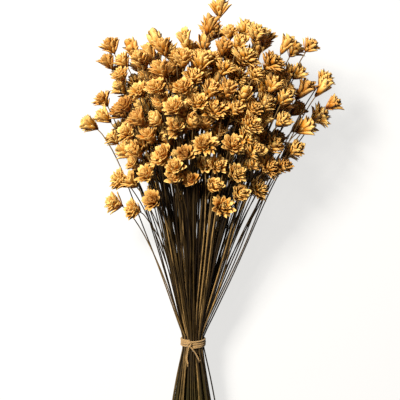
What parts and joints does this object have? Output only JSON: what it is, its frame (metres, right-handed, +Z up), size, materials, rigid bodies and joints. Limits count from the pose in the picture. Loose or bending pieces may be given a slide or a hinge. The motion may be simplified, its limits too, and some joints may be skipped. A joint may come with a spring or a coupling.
{
  "type": "bunch of dried flowers",
  "caption": "Bunch of straw-coloured dried flowers on thin leafless stems, tied at the waist with twine and lying on its side.",
  "frame": {"origin": "middle of the bounding box, on the surface that the bunch lies on", "axes": "+X across the bunch, +Y along it from the cut ends to the heads, +Z up from the surface"},
  "size_m": [0.2602, 0.4422, 0.145],
  "materials": {
    "dried_flower": "papery, dry, matt",
    "twine": "rough natural fibre"
  },
  "bodies": {
    "root": {"flower_01": "dried_flower", "flower_02": "dried_flower", "flower_03": "dried_flower", "flower_04": "dried_flower", "flower_05": "dried_flower", "flower_06": "dried_flower", "flower_07": "dried_flower", "flower_08": "dried_flower", "flower_09": "dried_flower", "flower_10": "dried_flower", "flower_11": "dried_flower", "flower_12": "dried_flower", "flower_13": "dried_flower", "flower_14": "dried_flower", "flower_15": "dried_flower", "flower_16": "dried_flower", "flower_17": "dried_flower", "flower_18": "dried_flower", "flower_19": "dried_flower", "flower_20": "dried_flower", "sprig_01": "dried_flower", "sprig_02": "dried_flower", "sprig_03": "dried_flower", "sprig_04": "dried_flower", "sprig_05": "dried_flower", "sprig_06": "dried_flower", "sprig_07": "dried_flower", "sprig_08": "dried_flower", "sprig_09": "dried_flower", "sprig_10": "dried_flower", "sprig_11": "dried_flower", "sprig_12": "dried_flower", "sprig_13": "dried_flower", "sprig_14": "dried_flower", "sprig_15": "dried_flower", "sprig_16": "dried_flower", "sprig_17": "dried_flower", "sprig_18": "dried_flower", "sprig_19": "dried_flower", "sprig_20": "dried_flower", "sprig_21": "dried_flower", "sprig_22": "dried_flower", "sprig_23": "dried_flower", "sprig_24": "dried_flower", "sprig_25": "dried_flower", "sprig_26": "dried_flower", "sprig_27": "dried_flower", "sprig_28": "dried_flower", "sprig_29": "dried_flower", "sprig_30": "dried_flower", "sprig_31": "dried_flower", "sprig_32": "dried_flower", "sprig_33": "dried_flower", "sprig_34": "dried_flower", "sprig_35": "dried_flower", "sprig_36": "dried_flower", "sprig_37": "dried_flower", "sprig_38": "dried_flower", "sprig_39": "dried_flower", "tie": "twine"}
  },
  "joints": []
}
